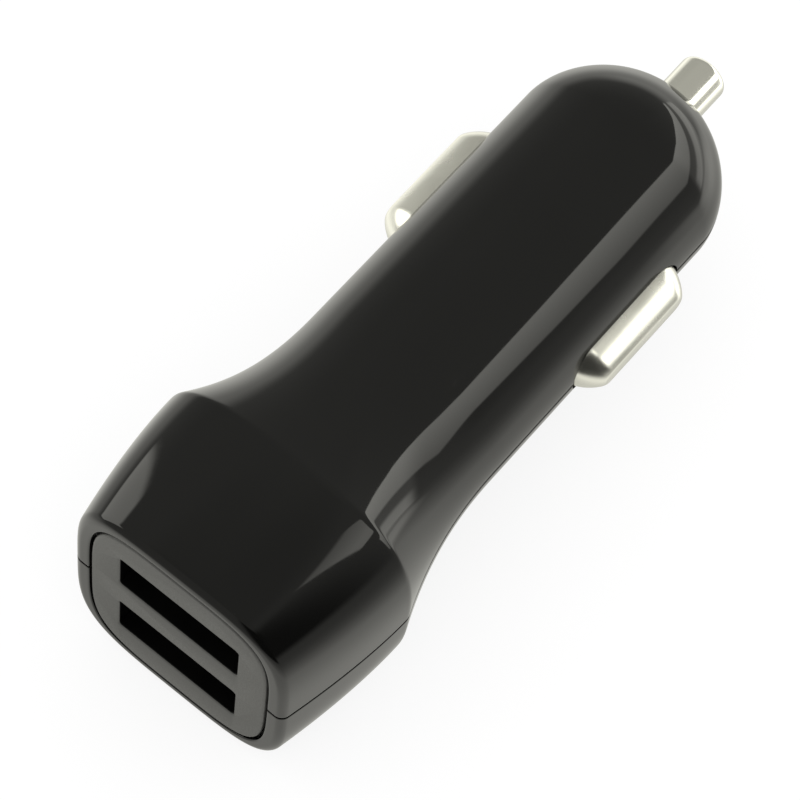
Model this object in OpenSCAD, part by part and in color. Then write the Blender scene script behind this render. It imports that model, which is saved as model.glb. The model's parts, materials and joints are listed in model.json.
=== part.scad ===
// Car charger plug with two USB-A ports, modelled lying down.
// +Y runs from the port face (y = 0) to the tip, X is the width and +Z is up.
// The two half shells part on the plane z = 0, which holds the axis of the shank.

/* [Head] */
// Half width of the head at its port end
front_half_w = 11.4; // [10.8:0.1:12]
// Half height of the head at its port end
front_half_h = 12.4; // [12.2:0.1:13]
// Half width of the head at its ridge
ridge_half_w = 13.5; // [13:0.1:14.5]
// Half height of the head at its ridge
ridge_half_h = 13.1; // [12.8:0.1:14]
// Distance from the port face to the ridge
ridge_y = 14.2; // [13:0.1:16]
// Squareness of the section at the port end, where 2 is an ellipse
front_square = 3.9; // [3.2:0.1:4.5]
// Squareness of the section at the ridge
ridge_square = 3.1; // [2.6:0.1:3.6]
// Power of the curve from the port end to the ridge
head_bulge = 1.6; // [1.2:0.1:2.2]
// Rounding of the outer edge round the port end
rim_edge = 0.7; // [0.3:0.1:1]
// Setback of the rim behind the face plate
rim_setback = 0.1; // [0:0.05:0.3]

/* [Neck and shank] */
// Distance from the port face to the end of the neck
neck_end_y = 30; // [26:0.5:34]
// Power of the neck's hollow curve
neck_curve = 2.2; // [1.6:0.1:3]
// Radius of the shank where the neck ends
shank_r = 10.45; // [10.2:0.05:10.7]
// Radius of the plain land that guides the plug into a socket
pilot_r = 10.35; // [10.1:0.05:10.5]
// Distance from the port face to the start of the rounded nose
nose_y = 59.3; // [58:0.1:62]
// Length of the rounded nose
nose_len = 9.5; // [8.5:0.1:11]
// Power of the nose curve, where 2 is an ellipse
nose_power = 1.85; // [1.6:0.05:2.4]
// Thickness of the shell wall
wall = 1.6; // [1.3:0.1:1.9]
// Thickness of the shell wall at the rim, where it holds the face plate
rim_wall = 2.4; // [2.3:0.1:2.8]

/* [Face plate] */
// Half width of the face plate
plate_half_w = 9.55; // [9:0.05:9.7]
// Half height of the face plate
plate_half_h = 10.95; // [10.4:0.05:11]
// Squareness of the face plate outline
plate_square = 4.1; // [3.4:0.1:4.6]
// Thickness of the face plate
plate_t = 2.2; // [2:0.1:2.8]
// Thickness of the hidden flange behind the face plate
flange_t = 0.8; // [0.6:0.1:1]
// Width of the hidden flange past the face plate outline
flange_w = 0.5; // [0.3:0.05:0.55]
// Gap round the face plate
plate_gap = 0.15; // [0.1:0.01:0.25]
// Bevel round each port slot
slot_bevel = 0.25; // [0.1:0.05:0.4]

/* [Ports] */
// Width of a port slot
slot_w = 12.8; // [12.6:0.1:13.2]
// Height of a port slot
slot_h = 5; // [4.9:0.1:5.3]
// Distance between the middles of the two slots
slot_pitch = 8.8; // [8.6:0.1:9.2]
// Width inside a port shell
port_w = 12.5; // [12.4:0.05:12.6]
// Height inside a port shell
port_h = 5.12; // [5.1:0.02:5.2]
// Sheet thickness of a port shell
port_sheet = 0.3; // [0.25:0.05:0.35]
// Length of a port shell
port_len = 13.2; // [12.5:0.1:14]
// Distance from a port shell's mouth to its tongue
tongue_setback = 1.7; // [1.6:0.1:2.2]
// Width of the tongue
tongue_w = 11.1; // [10.8:0.1:11.3]
// Thickness of the tongue
tongue_t = 1.84; // [1.7:0.02:1.9]
// Space between the tongue and the far wall of its port shell
tongue_space = 0.6; // [0.4:0.05:0.8]
// Thickness of the block that closes the back of a port
port_block_t = 2.2; // [1.8:0.1:2.6]
// Width of a contact strip
strip_w = 1; // [0.8:0.05:1.2]
// Thickness of a contact strip
strip_t = 0.25; // [0.2:0.05:0.3]

/* [Circuit board] */
// Thickness of the board
board_t = 1.6; // [1.4:0.1:1.6]
// Half width of the board's front part
board_half_w = 7.8; // [7.4:0.1:7.9]
// Distance from the port face to the step in the board
board_step_y = 37.2; // [36.5:0.1:38]
// Half width of the board between the side contacts
board_tail_half_w = 4.4; // [4:0.1:4.6]
// Distance from the port face to the end of the board
board_end_y = 55.3; // [54.8:0.1:55.6]
// Space round the board where the shells hold it
board_clear = 0.1; // [0.05:0.05:0.2]

/* [Side contacts] */
// Length of a side contact
contact_len = 14.6; // [14:0.1:15]
// Height of a side contact
contact_h = 5.3; // [4.8:0.1:5.4]
// Distance from the port face to the middle of the side contacts
contact_y = 48; // [47.4:0.1:48.4]
// Distance from the shank axis to the face of a side contact
contact_reach = 12.5; // [12.2:0.05:12.8]
// Travel of a side contact when it is pressed flush
contact_travel = 2; // [1.8:0.05:2.1]
// Sheet thickness of a side contact
contact_sheet = 0.6; // [0.5:0.05:0.8]
// Rounding of a side contact's ends, seen from above
contact_end_r = 1.7; // [1.2:0.1:2]
// Rounding of a side contact's long edges
contact_edge_r = 1.8; // [1.4:0.1:2]
// Width of the lip that keeps a side contact in its slot
lip_w = 0.8; // [0.6:0.05:0.9]
// Gap round a side contact in its slot
contact_gap = 0.2; // [0.15:0.01:0.3]
// Thickness of a side contact's leaf spring
leaf_t = 0.25; // [0.2:0.05:0.3]
// Width of a leaf spring
leaf_w = 2.6; // [2:0.1:3]
// Half span of a leaf spring's bow
leaf_half_span = 5.4; // [5:0.1:5.6]

/* [Centre pin] */
// Radius of the centre pin
pin_r = 2.33; // [2.1:0.01:2.5]
// Distance from the port face to the end of the centre pin
pin_end_y = 73.3; // [72.5:0.1:74]
// Rounding of the pin's end
pin_edge = 0.55; // [0.3:0.05:0.8]
// Gap round the centre pin in the nose
pin_gap = 0.12; // [0.08:0.01:0.2]
// Radius of the collar that keeps the pin in the nose
collar_r = 3.4; // [3.2:0.1:3.8]
// Thickness of the collar
collar_t = 1; // [0.8:0.1:1.4]
// Distance from the port face to the stop for the collar
collar_stop_y = 64.2; // [63.8:0.1:64.6]
// Travel of the centre pin when it is pressed
pin_travel = 3; // [2.5:0.1:3.2]
// Radius of the pin's tail inside its spring
tail_r = 1.3; // [1:0.05:1.4]
// Wire radius of the centre spring
spring_wire_r = 0.2; // [0.15:0.01:0.22]
// Radius of the centre spring to the middle of its wire
spring_r = 1.9; // [1.75:0.05:2.1]
// Turns of the centre spring
spring_turns = 6; // [5:1:7]

/* [Board parts] */
// Space between neighbouring parts on the board
part_gap = 0.15; // [0.1:0.05:0.2]
// Length of a chip's body
chip_len = 4.9; // [4.8:0.05:5]
// Width of a chip's body
chip_w = 3.9; // [3.8:0.05:4]
// Height of a chip's body above its stand-off
chip_h = 1.4; // [1.2:0.05:1.5]
// Reach of a chip's legs past its body
chip_leg = 1; // [0.8:0.05:1.1]
// Distance between a chip's legs
chip_pitch = 1.27; // [1.2:0.01:1.3]
// Radius of a capacitor can
can_r = 3.15; // [2.5:0.05:3.2]
// Height of a capacitor with its base
can_h = 6; // [5.4:0.1:6.2]
// Radius of the choke's core
choke_r = 4; // [3.5:0.1:4.2]
// Height of the choke's core
choke_h = 6; // [5:0.1:6.4]
// Thickness of the choke core's flanges
choke_flange = 1; // [0.8:0.1:1.2]
// Distance from the port face to the middle of the converter chip and the diode
converter_y = 33.2; // [33:0.1:33.6]
// Distance from the port face to the middle of the input capacitor
input_can_y = 41.5; // [41:0.1:42]
// Length of the diode's body
diode_len = 4.3; // [4:0.1:4.6]
// Width of the diode's body
diode_w = 2.6; // [2.4:0.1:2.7]
// Height of the diode
diode_h = 2.2; // [2:0.1:2.4]
// Distance from the port face to the fuse
fuse_y = 42; // [41:0.1:43]
// Length of the fuse
fuse_len = 6; // [5.8:0.1:6.2]
// Width of the fuse
fuse_w = 2.5; // [2.3:0.1:2.7]
// Height of the fuse
fuse_h = 2.2; // [2:0.1:2.4]
// Length of a ceramic capacitor or resistor
small_len = 2; // [1.6:0.1:2.1]
// Width of a ceramic capacitor or resistor
small_w = 1.2; // [0.8:0.1:1.3]
// Height of a ceramic capacitor
small_h = 0.8; // [0.6:0.1:1]

/* [Hidden] */
$fn = 64;

arc_steps = 32;        // points round half a section
head_rings = 8;        // rings from the rim to the ridge
neck_rings = 11;       // rings from the ridge to the end of the neck
edge_rings = 3;        // rings round the rim's edge
nose_steps = 20;       // points along the nose curve
seat_clear = 0.05;     // space between parts that are fitted together
weld = 0.3;            // how far a rib or boss runs into the wall that carries it
reach = 30;            // longer than any cut has to be

port_y = plate_t + seat_clear;                      // mouth of the port shells
port_z = slot_pitch / 2;                            // middle of the upper port
board_front_y = plate_t + 0.3;                      // the board stays clear of the face plate
cavity_r = shank_r - wall;
pilot_y = contact_y + contact_len / 2 + 0.7;        // start of the plain land
nose_tip_y = nose_y + nose_len;
lip_t = 0.6;
join_step = 0.02;      // how far the neck's last ring stays inside the turned shank
rim_wall_end = 5;      // place where the thicker wall at the rim has run out

// Height of a curve that falls from 1 to 0 as t goes from 0 to 1
function fall(t, power) = pow(max(1 - t, 0), power);
// Share of the way along the head and along the neck
function head_t(y) = min(max(y, 0) / ridge_y, 1);
function neck_t(y) = (y - ridge_y) / (neck_end_y - ridge_y);
function half_size(y, front, ridge) = y <= ridge_y
    ? ridge - (ridge - front) * fall(head_t(y), head_bulge)
    : shank_r - join_step + (ridge - shank_r + join_step) * fall(neck_t(y), neck_curve);
function square_at(y) = y <= ridge_y
    ? front_square + (ridge_square - front_square) * head_t(y)
    : 2 + (ridge_square - 2) * fall(neck_t(y), neck_curve + 0.6);
// Inset of the rounded outer edge at the rim
function edge_inset(y) = y >= rim_setback + rim_edge ? 0
    : rim_edge - sqrt(pow(rim_edge, 2) - pow(rim_setback + rim_edge - y, 2));
function half_w(y) = half_size(y, front_half_w, ridge_half_w);
function half_h(y) = half_size(y, front_half_h, ridge_half_h);
// Height of the outside above a point of the parting plane
function skin_z(x, y) = half_h(y) * pow(1 - pow(x / half_w(y), square_at(y)), 1 / square_at(y));

// Points of a superellipse from one angle to another
function oval(w, h, square, from, to, steps) = [for (i = [0 : steps])
    let (a = from + (to - from) * i / steps, c = cos(a), s = sin(a))
    [w * sign(c) * pow(abs(c), 2 / square), h * sign(s) * pow(abs(s), 2 / square)]];

// Thickness of the wall, which grows towards the rim
function wall_at(y) = wall - 2 * join_step + (rim_wall - wall) * fall(y / rim_wall_end, 1);
// Upper half of the head and neck wall at one place: the outside, then the inside
function wall_section(y) = let (inset = edge_inset(y), n = square_at(y), t = wall_at(y))
    concat(oval(half_w(y) - inset, half_h(y) - inset, n, 0, 180, arc_steps),
        oval(half_w(y) - t, half_h(y) - t, n, 180, 0, arc_steps));

ring_y = concat(
    [for (i = [0 : edge_rings]) rim_setback + rim_edge * (1 - cos(90 * i / edge_rings))],
    [for (i = [1 : head_rings])
        rim_setback + rim_edge + (ridge_y - rim_setback - rim_edge) * i / head_rings],
    [for (i = [1 : neck_rings]) ridge_y + (neck_end_y - ridge_y) * i / neck_rings],
    [neck_end_y + weld]);

// Closed solid through rings that all have the same number of points
module loft(rings) {
    n = len(rings[0]);
    last = len(rings) - 1;
    points = [for (ring = rings) for (p = ring) p];
    sides = [for (k = [0 : last - 1]) for (i = [0 : n - 1])
        let (a = k * n + i, b = k * n + (i + 1) % n) each [[a, b, b + n], [a, b + n, a + n]]];
    half = n / 2;
    // The end faces are strips between the outer and the inner half of the ring
    front = [for (i = [0 : half - 2]) each [[i, n - 1 - i, n - 2 - i], [i, n - 2 - i, i + 1]]];
    back = [for (f = front) [for (j = [2 : -1 : 0]) f[j] + last * n]];
    polyhedron(points, concat(sides, front, back), convexity = 6);
}

// A profile of radius and place along the axis, turned through half a circle above z = 0
module turned_half(profile) {
    mirror([0, 0, 1]) rotate([-90, 0, 0]) rotate_extrude(angle = 180, $fn = 96) polygon(profile);
}

// A full disc or tube along the Y axis
module rod(r, from, to, x = 0, z = 0) {
    translate([x, from, z]) rotate([-90, 0, 0]) cylinder(r = r, h = to - from);
}

// A block given by its middle in X and Z and its two ends in Y
module bar(w, h, from, to, x = 0, z = 0) {
    translate([x - w / 2, from, z - h / 2]) cube([w, to - from, h]);
}

// A prism with the outline of the face plate
module plate_prism(grow, from, to) {
    outline = oval(plate_half_w + grow, plate_half_h + grow, plate_square, 0, 360, 2 * arc_steps);
    translate([0, to, 0]) rotate([90, 0, 0]) linear_extrude(to - from)
        polygon([for (i = [1 : 2 * arc_steps]) outline[i]]);
}

// Nose curve, inset by the wall for the cavity
function nose_points(inset) = [for (i = [0 : nose_steps])
    let (a = 90 * i / nose_steps)
    [(pilot_r - inset) * pow(cos(a), 2 / nose_power),
        nose_y + (nose_len - inset) * pow(sin(a), 2 / nose_power)]];

module contact_slot_cut(side) {
    h = contact_h + 2 * contact_gap;
    len = contact_len + 2 * contact_gap;
    depth = reach / 2;
    for (end = [-1, 1])
        translate([side * cavity_r / 2, contact_y + end * (len - h) / 2, 0])
            rotate([0, side * 90, 0]) cylinder(d = h, h = depth);
    translate([side > 0 ? cavity_r / 2 : -cavity_r / 2 - depth, contact_y - (len - h) / 2, -h / 2])
        cube([depth, len - h, h]);
}

boss_r = 1.3;
boss_x = board_half_w + board_clear + boss_r + 0.1;
boss_y = ridge_y - 3;
boss_top = skin_z(boss_x + boss_r, boss_y) - weld;
peg_r = 0.8;
peg_len = 2.4;
rib_t = 1.2;
rib_r = board_half_w - 0.9;
ribs_y = [neck_end_y + 1, board_step_y - rib_t - 0.4];

// The upper half of the housing, without its pegs
module half_housing() {
    difference() {
        union() {
            loft([for (y = ring_y) [for (p = wall_section(y)) [p[0], y, p[1]]]]);
            turned_half(concat([[shank_r, neck_end_y], [pilot_r, pilot_y]], nose_points(0),
                [for (i = [nose_steps : -1 : 0]) nose_points(wall)[i]],
                [[pilot_r - wall, pilot_y], [cavity_r, neck_end_y]]));
            // Thick end of the nose, which guides the pin and stops its collar
            turned_half([[0, collar_stop_y], [collar_r + 0.8, collar_stop_y],
                [collar_r + 0.8, nose_y + nose_len * 0.72], [0, nose_tip_y - wall / 2]]);
            // Ribs that hold the board
            for (y = ribs_y) turned_half([[rib_r, y], [cavity_r + weld, y],
                [cavity_r + weld, y + rib_t], [rib_r, y + rib_t]]);
            // Bosses for the pegs
            for (side = [-1, 1]) translate([side * boss_x, boss_y, 0])
                cylinder(r = boss_r, h = boss_top, $fn = 32);
        }
        plate_prism(plate_gap, -1, plate_t + 1);
        plate_prism(flange_w + plate_gap, plate_t - flange_t - seat_clear, plate_t + 0.6);
        rod(pin_r + pin_gap, collar_stop_y - 1, nose_tip_y + 1);
        for (side = [-1, 1]) contact_slot_cut(side);
        bar(2 * (board_half_w + board_clear), board_t + 2 * board_clear,
            board_front_y, board_step_y + board_clear);
    }
}

module top_shell() {
    color([0.05, 0.05, 0.05]) union() {
        half_housing();
        for (side = [-1, 1]) translate([side * boss_x, boss_y, -peg_len])
            cylinder(r = peg_r, h = peg_len + 1, $fn = 32);
    }
}

module bottom_shell() {
    color([0.06, 0.06, 0.06]) difference() {
        mirror([0, 0, 1]) half_housing();
        for (side = [-1, 1]) translate([side * boss_x, boss_y, -peg_len - 0.4])
            cylinder(r = peg_r + seat_clear, h = peg_len + 1, $fn = 32);
    }
}

module face_plate() {
    color([0.2, 0.2, 0.19]) difference() {
        union() {
            plate_prism(0, 0, plate_t);
            plate_prism(flange_w, plate_t - flange_t, plate_t);
        }
        for (side = [-1, 1]) translate([0, 0, side * port_z]) {
            bar(slot_w, slot_h, -1, plate_t + 1);
            hull() {
                bar(slot_w + 2 * slot_bevel, slot_h + 2 * slot_bevel, -0.1, 0);
                bar(slot_w, slot_h, 0, slot_bevel);
            }
        }
    }
}

module circuit_board() {
    color([0.1, 0.35, 0.2]) translate([0, 0, -board_t / 2]) linear_extrude(board_t)
        polygon([[-board_half_w, board_front_y], [board_half_w, board_front_y],
            [board_half_w, board_step_y], [board_tail_half_w, board_step_y],
            [board_tail_half_w, board_end_y], [-board_tail_half_w, board_end_y],
            [-board_tail_half_w, board_step_y], [-board_half_w, board_step_y]]);
}

port_out_w = port_w + 2 * port_sheet;
port_out_h = port_h + 2 * port_sheet;
leg_h = port_z - port_out_h / 2 - board_t / 2;
tongue_top = port_z + port_h / 2 - tongue_space;
tongue_y = port_y + tongue_setback;
port_back = port_y + port_len;
block_y = port_back - port_block_t;
finger_w = 2.2;
finger_len = 5.5;
finger_cut = 0.35;
finger_y = port_y + 2.2;
leg_len = 1.8;                                   // length of a shell's leg along the board
legs_y = [port_y + 2.5, port_back - 4];
strip_pitch = [-3.5, -1, 1, 3.5];
strip_row_w = 2 * strip_pitch[3] + strip_w;      // width over all four strips
strip_drop_y = port_back - 0.5;                  // back of the strips, where they turn down
strip_notch = 0.3;                               // space round the strips in the shell's notch

// Upper port shell: a folded sheet with two spring fingers, four legs and a notch for the strips
module port_shell() {
    color([0.75, 0.75, 0.73]) union() {
        difference() {
            bar(port_out_w, port_out_h, port_y, port_back, z = port_z);
            bar(port_w, port_h, port_y - 1, port_back + 1, z = port_z);
            bar(strip_row_w + 2 * strip_notch, port_h / 2, strip_drop_y - strip_t - strip_notch,
                port_back + 1, z = port_z - port_h / 2);
            // A U-shaped cut frees each finger in the far wall
            for (side = [-1, 1]) translate([side * port_w / 4, finger_y, port_z + port_h / 2 - 0.5])
                difference() {
                    translate([-finger_w / 2 - finger_cut, 0, 0])
                        cube([finger_w + 2 * finger_cut, finger_len + finger_cut, 2]);
                    translate([-finger_w / 2, -1, -1]) cube([finger_w, finger_len + 1, 4]);
                }
        }
        for (side = [-1, 1]) for (y = legs_y)
            translate([side > 0 ? port_out_w / 2 - port_sheet : -port_out_w / 2, y, board_t / 2])
                cube([port_sheet, leg_len, leg_h + port_sheet]);
    }
}

// Upper insulator: the tongue and the block behind it, with a channel for each strip
module port_tongue() {
    color([0.12, 0.12, 0.12]) difference() {
        union() {
            translate([-tongue_w / 2, tongue_y, tongue_top - tongue_t])
                cube([tongue_w, block_y - tongue_y + 0.5, tongue_t]);
            bar(port_w - 2 * seat_clear, port_h - 2 * seat_clear, block_y, port_back, z = port_z);
        }
        for (x = strip_pitch)
            translate([x - strip_w / 2 - seat_clear, block_y - 1, 0])
                cube([strip_w + 2 * seat_clear, port_block_t + 2, tongue_top - tongue_t]);
    }
}

// Upper contact strips: along the tongue, then down to the board behind the block
module port_strips() {
    color([0.85, 0.7, 0.3]) for (x = strip_pitch) translate([x - strip_w / 2, 0, 0]) {
        z1 = tongue_top - tongue_t - seat_clear;
        rotate([90, 0, 90]) linear_extrude(strip_w)
            polygon([[tongue_y + 0.6, z1], [tongue_y + 0.6, z1 - strip_t],
                [tongue_y + 2.2, z1 - strip_t], [tongue_y + 3.2, z1 - 2.4 * strip_t],
                [tongue_y + 4.2, z1 - strip_t], [strip_drop_y - strip_t, z1 - strip_t],
                [strip_drop_y - strip_t, board_t / 2], [strip_drop_y, board_t / 2],
                [strip_drop_y, z1]]);
    }
}

module upper_port_shell() { port_shell(); }
module lower_port_shell() { mirror([0, 0, 1]) port_shell(); }
module upper_port_tongue() { port_tongue(); }
module lower_port_tongue() { mirror([0, 0, 1]) port_tongue(); }
module upper_port_strips() { port_strips(); }
module lower_port_strips() { mirror([0, 0, 1]) port_strips(); }

// Outline of a side contact in Y and Z, as a bar with round ends
function stadium(len, h, steps) = [for (end = [1, -1]) for (i = [0 : steps])
    let (a = 90 - 180 * i / steps)
    [end * ((len - h) / 2 + h / 2 * cos(a)), end * h / 2 * sin(a)]];
// Inset of a quarter round of radius r at a depth below the face
function round_inset(depth, r) = depth >= r ? 0 : r - sqrt(r * r - pow(r - depth, 2));

face_depths = [for (i = [0 : 7]) contact_end_r * (1 - cos(90 * i / 7))];
function contact_ring(x, depth, shrink) = [for (p = stadium(
    contact_len - 2 * (shrink + round_inset(depth, contact_end_r)),
    contact_h - 2 * (shrink + round_inset(depth, contact_edge_r)), 14))
    [x, contact_y + p[0], p[1]]];

// Solid through whole rings, closed with flat ends
module rings_solid(rings) {
    n = len(rings[0]);
    last = len(rings) - 1;
    points = [for (ring = rings) for (p = ring) p];
    polyhedron(points, concat(
        [for (k = [0 : last - 1]) for (i = [0 : n - 1])
            let (a = k * n + i, b = k * n + (i + 1) % n) each [[a, b, b + n], [a, b + n, a + n]]],
        [[for (i = [n - 1 : -1 : 0]) i]],
        [[for (i = [0 : n - 1]) last * n + i]]), convexity = 4);
}

lip_x = sqrt(pow(cavity_r, 2) - pow(contact_h / 2 + lip_w, 2)) - 0.15;

// Right side contact: a pressed cup with a lip that stays behind the wall
module side_contact() {
    color([0.8, 0.79, 0.75]) difference() {
        union() {
            rings_solid(concat([contact_ring(lip_x - lip_t / 2, contact_reach, 0)],
                [for (i = [7 : -1 : 0]) contact_ring(contact_reach - face_depths[i], face_depths[i], 0)]));
            rings_solid([contact_ring(lip_x - lip_t, contact_reach, -lip_w),
                contact_ring(lip_x, contact_reach, -lip_w)]);
        }
        rings_solid([contact_ring(lip_x - lip_t - 1, contact_reach, contact_sheet),
            contact_ring(contact_reach - contact_sheet - contact_end_r, contact_reach, contact_sheet),
            contact_ring(contact_reach - contact_sheet, contact_end_r, contact_sheet + 0.5)]);
    }
}

module right_contact() { side_contact(); }
module left_contact() { mirror([1, 0, 0]) side_contact(); }

// Right leaf spring: a bow between the board's edge and the hollow of the contact
leaf_foot_x = board_tail_half_w;
leaf_rise = contact_reach - contact_sheet - 0.3 - leaf_t - leaf_foot_x;
leaf_r = (pow(leaf_half_span, 2) + pow(leaf_rise, 2)) / (2 * leaf_rise);
module leaf_spring() {
    color([0.8, 0.6, 0.35]) translate([leaf_foot_x, contact_y, -leaf_w / 2]) linear_extrude(leaf_w)
        union() {
            intersection() {
                translate([leaf_rise - leaf_r, 0]) difference() {
                    circle(r = leaf_r + leaf_t, $fn = 96);
                    circle(r = leaf_r, $fn = 96);
                }
                translate([0, -leaf_half_span - 1]) square([reach, 2 * leaf_half_span + 2]);
            }
            for (end = [-1, 1]) translate([0, end * (leaf_half_span + 0.9) - 1])
                square([leaf_t, 2]);
        }
}
module right_leaf_spring() { leaf_spring(); }
module left_leaf_spring() { mirror([1, 0, 0]) leaf_spring(); }

collar_y = collar_stop_y - 0.1 - collar_t;      // back of the collar
seat_t = 0.8;
prong_len = 3;
prong_w = 3;
prong_t = 0.5;
seat_y = board_end_y + seat_clear;               // front of the seat's disc
tail_y = seat_y + seat_t + pin_travel + 0.4;

// Centre pin: a turned pin with a collar and a tail for the spring
module centre_pin() {
    color([0.8, 0.79, 0.75]) rotate([-90, 0, 0]) rotate_extrude() polygon(concat(
        [[0, tail_y], [tail_r, tail_y], [tail_r, collar_y], [collar_r, collar_y],
            [collar_r, collar_y + collar_t], [pin_r, collar_y + collar_t]],
        [for (i = [0 : 8]) [pin_r - pin_edge * (1 - cos(90 * i / 8)),
            pin_end_y - pin_edge * (1 - sin(90 * i / 8))]],
        [[0, pin_end_y]]));
}

spring_from = seat_y + seat_t + spring_wire_r + seat_clear;
spring_to = collar_y - spring_wire_r - seat_clear;
coil_steps = 14;
wire_sides = 6;

// Centre spring: one round wire swept along a helix
module centre_spring() {
    count = spring_turns * coil_steps;
    color([0.7, 0.7, 0.7]) rings_solid([for (k = [0 : count])
        let (a = 360 * k / coil_steps, y = spring_from + (spring_to - spring_from) * k / count)
        [for (j = [0 : wire_sides - 1]) let (b = -360 * j / wire_sides, r = spring_r + spring_wire_r * cos(b))
            [r * cos(a), y + spring_wire_r * sin(b), r * sin(a)]]]);
}

// Spring seat: a brass disc with two prongs that grip the end of the board
module spring_seat() {
    color([0.8, 0.65, 0.3]) union() {
        rod(collar_r - 0.2, seat_y, seat_y + seat_t);
        for (side = [-1, 1]) bar(prong_w, prong_t, seat_y - prong_len, seat_y + seat_t / 2,
            z = side * (board_t + prong_t) / 2);
    }
}

port_chip_y = port_back + chip_len / 2 + part_gap;
can_base_half = can_r + 0.15;                    // half width of a can's square base
can_base = 0.8;
can_neck = 0.5;                                  // height of the groove above the base
choke_y = port_chip_y + chip_len / 2 + part_gap + can_base_half;
choke_neck = 0.55;                               // share of the core's radius inside the winding
winding_r = choke_r - 0.4;
leg_t = 0.3;                                     // thickness of the legs of chips and diode
leg_w = 0.4;

// A block on the board's upper face, given by its middle
module board_block(w, len, h, x, y, lift = 0) {
    bar(w, h, y - len / 2, y + len / 2, x = x, z = board_t / 2 + lift + h / 2);
}

module choke_core() {
    color([0.25, 0.25, 0.27]) translate([0, choke_y, board_t / 2]) union() {
        cylinder(r = choke_r, h = choke_flange);
        cylinder(r = choke_r * choke_neck, h = choke_h);
        translate([0, 0, choke_h - choke_flange]) cylinder(r = choke_r, h = choke_flange);
    }
}

module choke_winding() {
    color([0.75, 0.4, 0.2]) translate([0, choke_y, board_t / 2 + choke_flange]) difference() {
        cylinder(r = winding_r, h = choke_h - 2 * choke_flange);
        translate([0, 0, -1]) cylinder(r = choke_r * choke_neck, h = choke_h);
    }
}

// Upright electrolytic can on its square base
module capacitor(y) {
    color([0.7, 0.72, 0.74]) union() {
        board_block(2 * can_base_half, 2 * can_base_half, can_base, 0, y);
        translate([0, y, board_t / 2 + can_base]) cylinder(r = can_r - 0.25, h = can_neck);
        translate([0, y, board_t / 2 + can_base + can_neck])
            cylinder(r = can_r, h = can_h - can_base - can_neck);
    }
}

module input_capacitor() { capacitor(input_can_y); }
module output_capacitor() { mirror([0, 0, 1]) capacitor(choke_y); }

// Small-outline chip with gull-wing legs on both long sides
module chip(y) {
    stand_off = 0.15;
    leg_len = chip_leg + leg_t;
    color([0.1, 0.1, 0.11]) union() {
        board_block(chip_w, chip_len, chip_h, 0, y, stand_off);
        for (side = [-1, 1]) for (i = [-1.5 : 1.5])
            board_block(leg_len, leg_w, leg_t, side * (chip_w / 2 + chip_leg - leg_len / 2),
                y + i * chip_pitch);
    }
}

module converter_chip() { mirror([0, 0, 1]) chip(converter_y); }
module port_chip() { mirror([0, 0, 1]) chip(port_chip_y); }

module diode() {
    stand_off = 0.2;
    tab_len = 1.1;
    tab_reach = 0.45;
    color([0.12, 0.12, 0.12]) union() {
        board_block(diode_len, diode_w, diode_h - stand_off, 0, converter_y, stand_off);
        for (side = [-1, 1])
            board_block(tab_len, diode_w * 0.6, leg_t,
                side * (diode_len / 2 + tab_reach - tab_len / 2), converter_y);
    }
}

module fuse() {
    color([0.85, 0.83, 0.75]) mirror([0, 0, 1])
        board_block(fuse_w, fuse_len, fuse_h, 0, fuse_y + fuse_len / 2);
}

small_x = board_half_w - small_w / 2 - 1.6;
small_near_y = choke_y - choke_r;                // the pair beside the choke
small_far_y = neck_end_y - small_len / 2;        // the pair ahead of the first rib

// Ceramic capacitors and resistors on the board
module small_components() {
    color([0.6, 0.45, 0.3]) {
        for (side = [-1, 1]) for (y = [small_near_y, small_far_y])
            board_block(small_w, small_len, small_h, side * small_x, y);
        for (side = [-1, 1]) mirror([0, 0, 1])
            board_block(small_w, small_len, small_h * 0.75, side * small_x, small_far_y);
    }
}

top_shell();
bottom_shell();
face_plate();
circuit_board();
upper_port_shell();
lower_port_shell();
upper_port_tongue();
lower_port_tongue();
upper_port_strips();
lower_port_strips();
right_contact();
left_contact();
right_leaf_spring();
left_leaf_spring();
centre_pin();
centre_spring();
spring_seat();
choke_core();
choke_winding();
input_capacitor();
output_capacitor();
converter_chip();
port_chip();
diode();
fuse();
small_components();
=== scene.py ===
import json
import math
import bpy
import numpy as np
from mathutils import Matrix, Vector


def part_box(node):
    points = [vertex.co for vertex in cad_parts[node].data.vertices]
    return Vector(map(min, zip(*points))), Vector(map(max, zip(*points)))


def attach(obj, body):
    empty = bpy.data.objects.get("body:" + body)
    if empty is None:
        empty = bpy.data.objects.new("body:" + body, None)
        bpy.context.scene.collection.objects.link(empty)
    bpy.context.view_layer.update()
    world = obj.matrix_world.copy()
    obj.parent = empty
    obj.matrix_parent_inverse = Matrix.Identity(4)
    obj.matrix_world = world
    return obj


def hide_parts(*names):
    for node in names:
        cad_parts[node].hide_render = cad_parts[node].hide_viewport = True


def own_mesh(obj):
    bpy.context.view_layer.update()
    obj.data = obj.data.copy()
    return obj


# Car charger plug, lying on a pale floor. Lengths in the settings are in millimetres,
# +Y runs from the port face to the pin's tip, and the shells part on z = 0.

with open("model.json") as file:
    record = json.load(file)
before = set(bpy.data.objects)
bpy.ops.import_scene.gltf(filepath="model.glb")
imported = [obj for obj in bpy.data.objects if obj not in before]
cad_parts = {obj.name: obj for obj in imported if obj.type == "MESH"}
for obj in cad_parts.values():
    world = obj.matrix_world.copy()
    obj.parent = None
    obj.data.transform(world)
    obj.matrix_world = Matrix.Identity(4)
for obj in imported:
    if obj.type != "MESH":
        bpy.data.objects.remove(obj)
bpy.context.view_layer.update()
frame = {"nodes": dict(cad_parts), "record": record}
nodes = frame["nodes"]
mm = 0.001
print("stage: frame loaded")


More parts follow.
